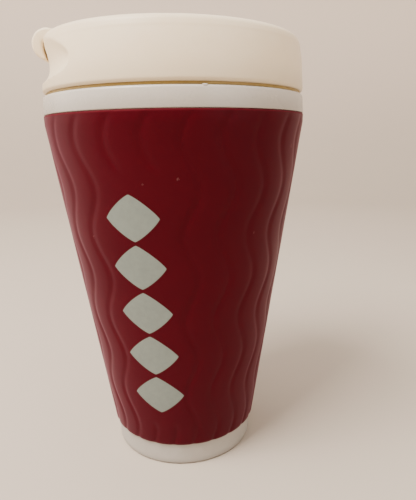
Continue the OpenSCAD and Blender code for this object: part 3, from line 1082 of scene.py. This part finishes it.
def make_tab():
    """The strap with its rolled end, its knuckle and its trunnions."""
    roll_x = tab_front + ROLL_CENTRE
    roll_z = tab_top - ROLL_R
    # the hook's inner face runs straight down and then curls in under the lid's lip
    hook_x = roll_x - HOOK_INSET
    curl_z = roll_z - CURL_START
    tip_x = hook_x + HOOK_CURL
    tip_z = roll_z - math.sqrt(ROLL_R ** 2 - (roll_x - tip_x) ** 2)
    drop = curl_z - tip_z - HOOK_TIP
    curl_r = (HOOK_CURL ** 2 + drop ** 2) / (2 * HOOK_CURL)
    curl = math.degrees(math.asin(drop / curl_r))
    foot = math.degrees(math.acos((tip_x - roll_x) / ROLL_R))
    # where the roll's back meets the strap's top, softened with a hollow fillet
    meet = math.degrees(math.asin((strap_top - roll_z) / ROLL_R))
    back = [(roll_x + ROLL_R * math.cos(math.radians(a)), roll_z + ROLL_R * math.sin(math.radians(a)))
            for a in (meet + 14, meet + 9)]
    end_x = hinge.x - STRAP_END
    outline = ([(hook_x + HOOK_CORNER, strap_low), (hook_x, strap_low - HOOK_CORNER)]
               + arc(hook_x + curl_r, curl_z, curl_r, 180, 180 + curl, 7)
               + arc(roll_x, roll_z, ROLL_R, -foot, -180, 12)
               + arc(roll_x, roll_z, ROLL_R, 180, meet + 19, 22)[1:] + back
               + [(roll_x + ROLL_R * math.cos(math.radians(meet)) + ROLL_FILLET, strap_top),
                  (end_x, strap_top)]
               + arc(hinge.x, hinge.z, KNUCKLE_R, 118, -118, 20) + [(end_x, strap_low)])
    half = STRAP_W / 2
    tab = slab("tab_cream", rows(outline, 2 * MM), -half, half, STRAP_BEVEL)
    combined(tab, [rod("pins", hinge.x, hinge.z, TRUNNION_R, trunnion_end, "Y")], "UNION")
    strap_mid = (strap_low + strap_top) / 2
    combined(tab, [rod("stem_hole", stopper_x, strap_mid, STEM_R + STEM_GAP, STRAP_T, "Z")], "DIFFERENCE")
    return tab


def make_stopper():
    """The silicone plug with its stem through the strap and its button on top."""
    tip_r = plug_r - PLUG_TAPER
    neck_z = strap_low - PLUG_SHOULDER
    outline = ([(0, stopper_low)]
               + arc(tip_r - PLUG_CORNER, stopper_low + PLUG_CORNER, PLUG_CORNER, -90, 0, 4)
               + [(plug_r, stopper_low + PLUG_NOSE), (plug_r, neck_z)]
               + arc(plug_r - PLUG_SHOULDER, neck_z, PLUG_SHOULDER, 0, 90, 4)
               + [(STEM_R, strap_low), (STEM_R, strap_top), (BUTTON_R - BUTTON_FOOT, strap_top)]
               + arc(BUTTON_R - BUTTON_EDGE, stopper_top - BUTTON_EDGE, BUTTON_EDGE, 0, 90, 5)
               + [(0, stopper_top)])
    stopper = lathe("stopper_plug", outline, even_angles(64))
    return place(stopper, Matrix.Translation((stopper_x, 0, 0)))


# ---------------------------------------------------------------- pieces and their bodies

PIECES = [
    (make_sleeve, "ripple_sleeve", "cup", "sleeve_plastic", BURGUNDY),
    (make_base, "base_cap", "cup", "white_plastic", SHADED_WHITE),
    (make_liner, "inner_cup", "cup", "white_plastic", WHITE),
    (make_seal, "lid_seal", "seal", "seal_silicone", AMBER),
    (make_lid, "lid", "lid", "cream_plastic", CREAM),
    (make_tab, "flip_tab", "tab", "cream_plastic", CREAM),
    (make_stopper, "tab_stopper", "tab", "stopper_silicone", PALE),
]

for make, cad_node, body, slot_name, finish in PIECES:
    piece = make()
    piece.data.materials.clear()
    piece.data.materials.append(finish)
    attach(piece, body)
    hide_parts(cad_node)


# ---------------------------------------------------------------- stage, lights and camera

# the lights' powers in watts, and the strength of the light that comes in over the sweep
KEY = 17.6
WALL = 6.0
LEFT = 2.2
RIGHT = 1.9
ROOM = 1.15
LIGHT_AIM = (0, 0, 0.12)

# the camera's place, its turns in radians, and its lens in mm on a sensor of 36 mm
CAMERA_DISTANCE = 178.8 * MM
CAMERA_HEIGHT = 117.9 * MM
CAMERA_YAW = 0.0659
CAMERA_PITCH = 0.2297
CAMERA_ROLL = -0.0163
CAMERA_LENS = 33.408
CAMERA_SHIFT = -0.00348


def make_stage():
    """A pale floor that sweeps up into a wall all the way round, so every side has the same backdrop."""
    radius, top, bend, skin = 1.3, 1.15, 0.55, 0.02
    outline = ([(0, 0)] + arc(radius - bend, bend, bend, -90, 0, 24)
               + [(radius, top), (radius + skin, top), (radius + skin, -skin), (0, -skin)])
    stage = lathe("sweep", outline, even_angles(96))
    material, tree, shader = new_material("pale_cloth")
    tone = use(tree, MOTTLE, {"Scale": 3.0, "Fine": 0.25}, "Tone")
    floor = mixed(tree, tone, (0.56, 0.475, 0.39, 1), (0.51, 0.43, 0.355, 1))
    tree.links.new(mixed(tree, ramp(tree, height(tree), 0.0, bend), floor, (0.78, 0.65, 0.54, 1)),
                   shader.inputs["Base Color"])
    shader.inputs["Roughness"].default_value = 0.9
    shader.inputs["Specular IOR Level"].default_value = 0.2
    stage.data.materials.append(material)


def area_light(name, spot, aim, size, power, colour):
    """A square soft light that faces a point and isn't seen itself."""
    data = bpy.data.lights.new(name, "AREA")
    data.shape = "SQUARE"
    data.size = size
    data.energy = power
    data.color = colour
    light = bpy.data.objects.new(name, data)
    light.location = spot
    light.rotation_euler = (Vector(aim) - Vector(spot)).to_track_quat("-Z", "Y").to_euler()
    light.visible_camera = False
    bpy.context.scene.collection.objects.link(light)


def make_lights():
    """A key above on the left, a light on the wall behind, a low panel each side, and the open top."""
    area_light("key", (-0.40, -0.30, 0.80), LIGHT_AIM, 0.45, KEY, (1.0, 0.955, 0.895))
    area_light("wall_light", (-0.35, 0.5, 1.1), (-0.4, 1.25, 0.5), 0.5, WALL, (1.0, 0.965, 0.92))
    area_light("left_panel", (-0.75, 0.05, 0.28), LIGHT_AIM, 0.6, LEFT, (1.0, 0.93, 0.83))
    area_light("right_panel", (0.60, -0.62, 0.22), LIGHT_AIM, 0.6, RIGHT, (0.84, 0.98, 1.0))
    world = bpy.data.worlds.new("room")
    world.use_nodes = True
    background = world.node_tree.nodes["Background"]
    background.inputs["Color"].default_value = (1.0, 0.98, 0.96, 1)
    background.inputs["Strength"].default_value = ROOM
    bpy.context.scene.world = world


def make_camera():
    """Close and a little above the middle of the cup, looking down on its base."""
    level = math.cos(CAMERA_PITCH)
    forward = Vector((math.sin(CAMERA_YAW) * level, math.cos(CAMERA_YAW) * level,
                      -math.sin(CAMERA_PITCH)))
    right = Vector((math.cos(CAMERA_YAW), -math.sin(CAMERA_YAW), 0))
    up = right.cross(forward)
    side = right * math.cos(CAMERA_ROLL) + up * math.sin(CAMERA_ROLL)
    top = up * math.cos(CAMERA_ROLL) - right * math.sin(CAMERA_ROLL)
    data = bpy.data.cameras.new("camera")
    data.sensor_width = 36
    data.lens = CAMERA_LENS
    data.shift_x = CAMERA_SHIFT
    data.clip_start = 0.01
    camera = bpy.data.objects.new("camera", data)
    turned = Matrix((side, top, -forward)).transposed().to_4x4()
    camera.matrix_world = Matrix.Translation((0, -CAMERA_DISTANCE, CAMERA_HEIGHT)) @ turned
    bpy.context.scene.collection.objects.link(camera)
    bpy.context.scene.camera = camera


make_stage()
make_lights()
make_camera()
